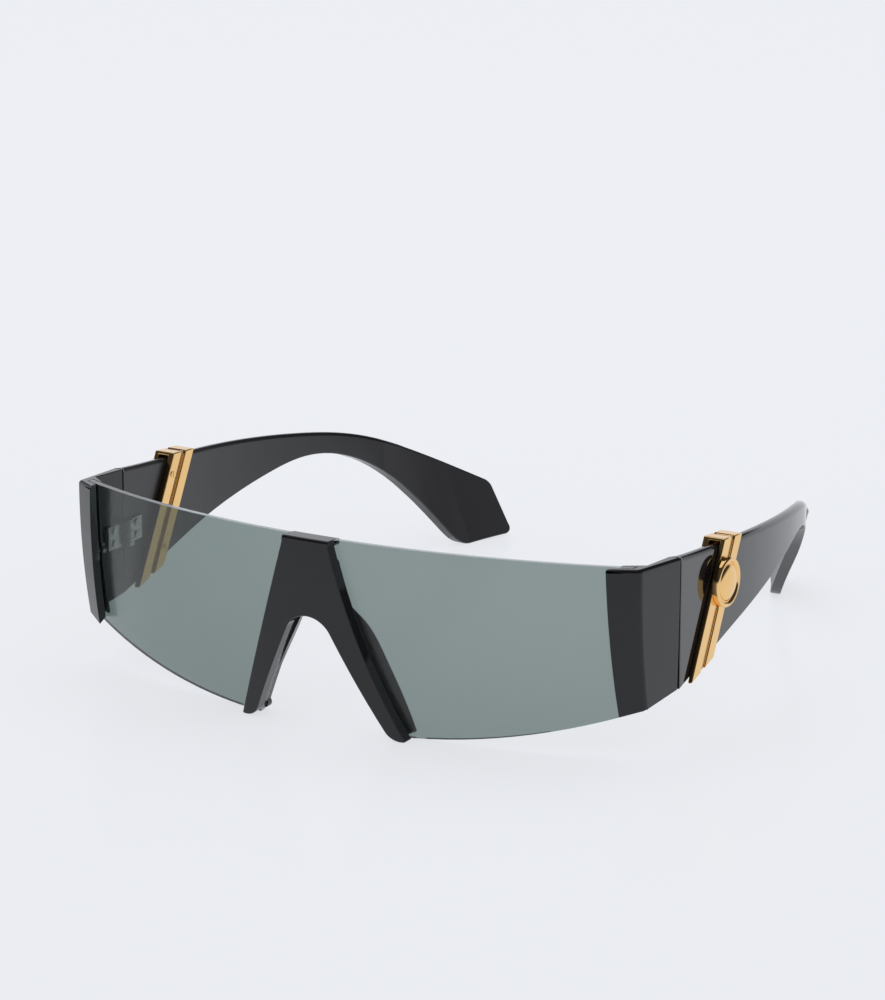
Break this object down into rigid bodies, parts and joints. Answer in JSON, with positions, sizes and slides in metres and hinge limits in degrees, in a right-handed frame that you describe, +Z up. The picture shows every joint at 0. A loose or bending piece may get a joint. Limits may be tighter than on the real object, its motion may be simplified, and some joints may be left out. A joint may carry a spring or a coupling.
{
  "type": "shield sunglasses",
  "caption": "Shield sunglasses with a one-piece curved lens, keyhole nose bridge, faceted end pieces and folding temples wrapped by gold clips.",
  "frame": {"origin": "under the middle of the object's box, on the surface it stands on, with the temples open", "axes": "+Z up, -Y the way the front faces, +Y along the open temples, +X to the right as seen from the front camera side"},
  "size_m": [0.1536, 0.1602, 0.0455],
  "materials": {
    "lens": "clear grey-green tinted lens plastic, polished",
    "frame": "polished black moulded plastic",
    "saddle": "satin black moulded plastic",
    "gold": "polished gold-coloured metal",
    "hinge": "plated hinge metal",
    "screw": "plain steel"
  },
  "bodies": {
    "front": {"shield_lens": "lens", "bridge_front": "frame", "nose_saddle": "saddle", "end_piece_right": "frame", "end_piece_left": "frame", "front_hinge_right": "hinge", "front_hinge_left": "hinge", "hinge_pin_right": "hinge", "hinge_pin_left": "hinge", "front_rivet_upper_right": "hinge", "front_rivet_upper_left": "hinge", "front_rivet_lower_right": "hinge", "front_rivet_lower_left": "hinge", "end_screw_right": "screw", "end_screw_left": "screw", "bridge_screw_right": "screw", "bridge_screw_left": "screw"},
    "temple_right": {"temple_right": "frame", "rear_hinge_right": "hinge", "rear_rivet_upper_right": "hinge", "rear_rivet_lower_right": "hinge", "clip_right": "gold", "clip_screw_upper_right": "gold", "clip_screw_lower_right": "gold", "boss_right": "gold"},
    "temple_left": {"temple_left": "frame", "rear_hinge_left": "hinge", "rear_rivet_upper_left": "hinge", "rear_rivet_lower_left": "hinge", "clip_left": "gold", "clip_screw_upper_left": "gold", "clip_screw_lower_left": "gold", "boss_left": "gold"}
  },
  "joints": [
    {"name": "right_temple_fold", "type": "hinge", "parent": "front", "child": "temple_right", "pos_m": [0.0693, -0.04478, 0.0277], "axis": [0, 0, 1], "range_deg": [0, 70]},
    {"name": "left_temple_fold", "type": "hinge", "parent": "front", "child": "temple_left", "pos_m": [-0.0693, -0.04478, 0.0277], "axis": [0, 0, -1], "range_deg": [0, 81]}
  ]
}
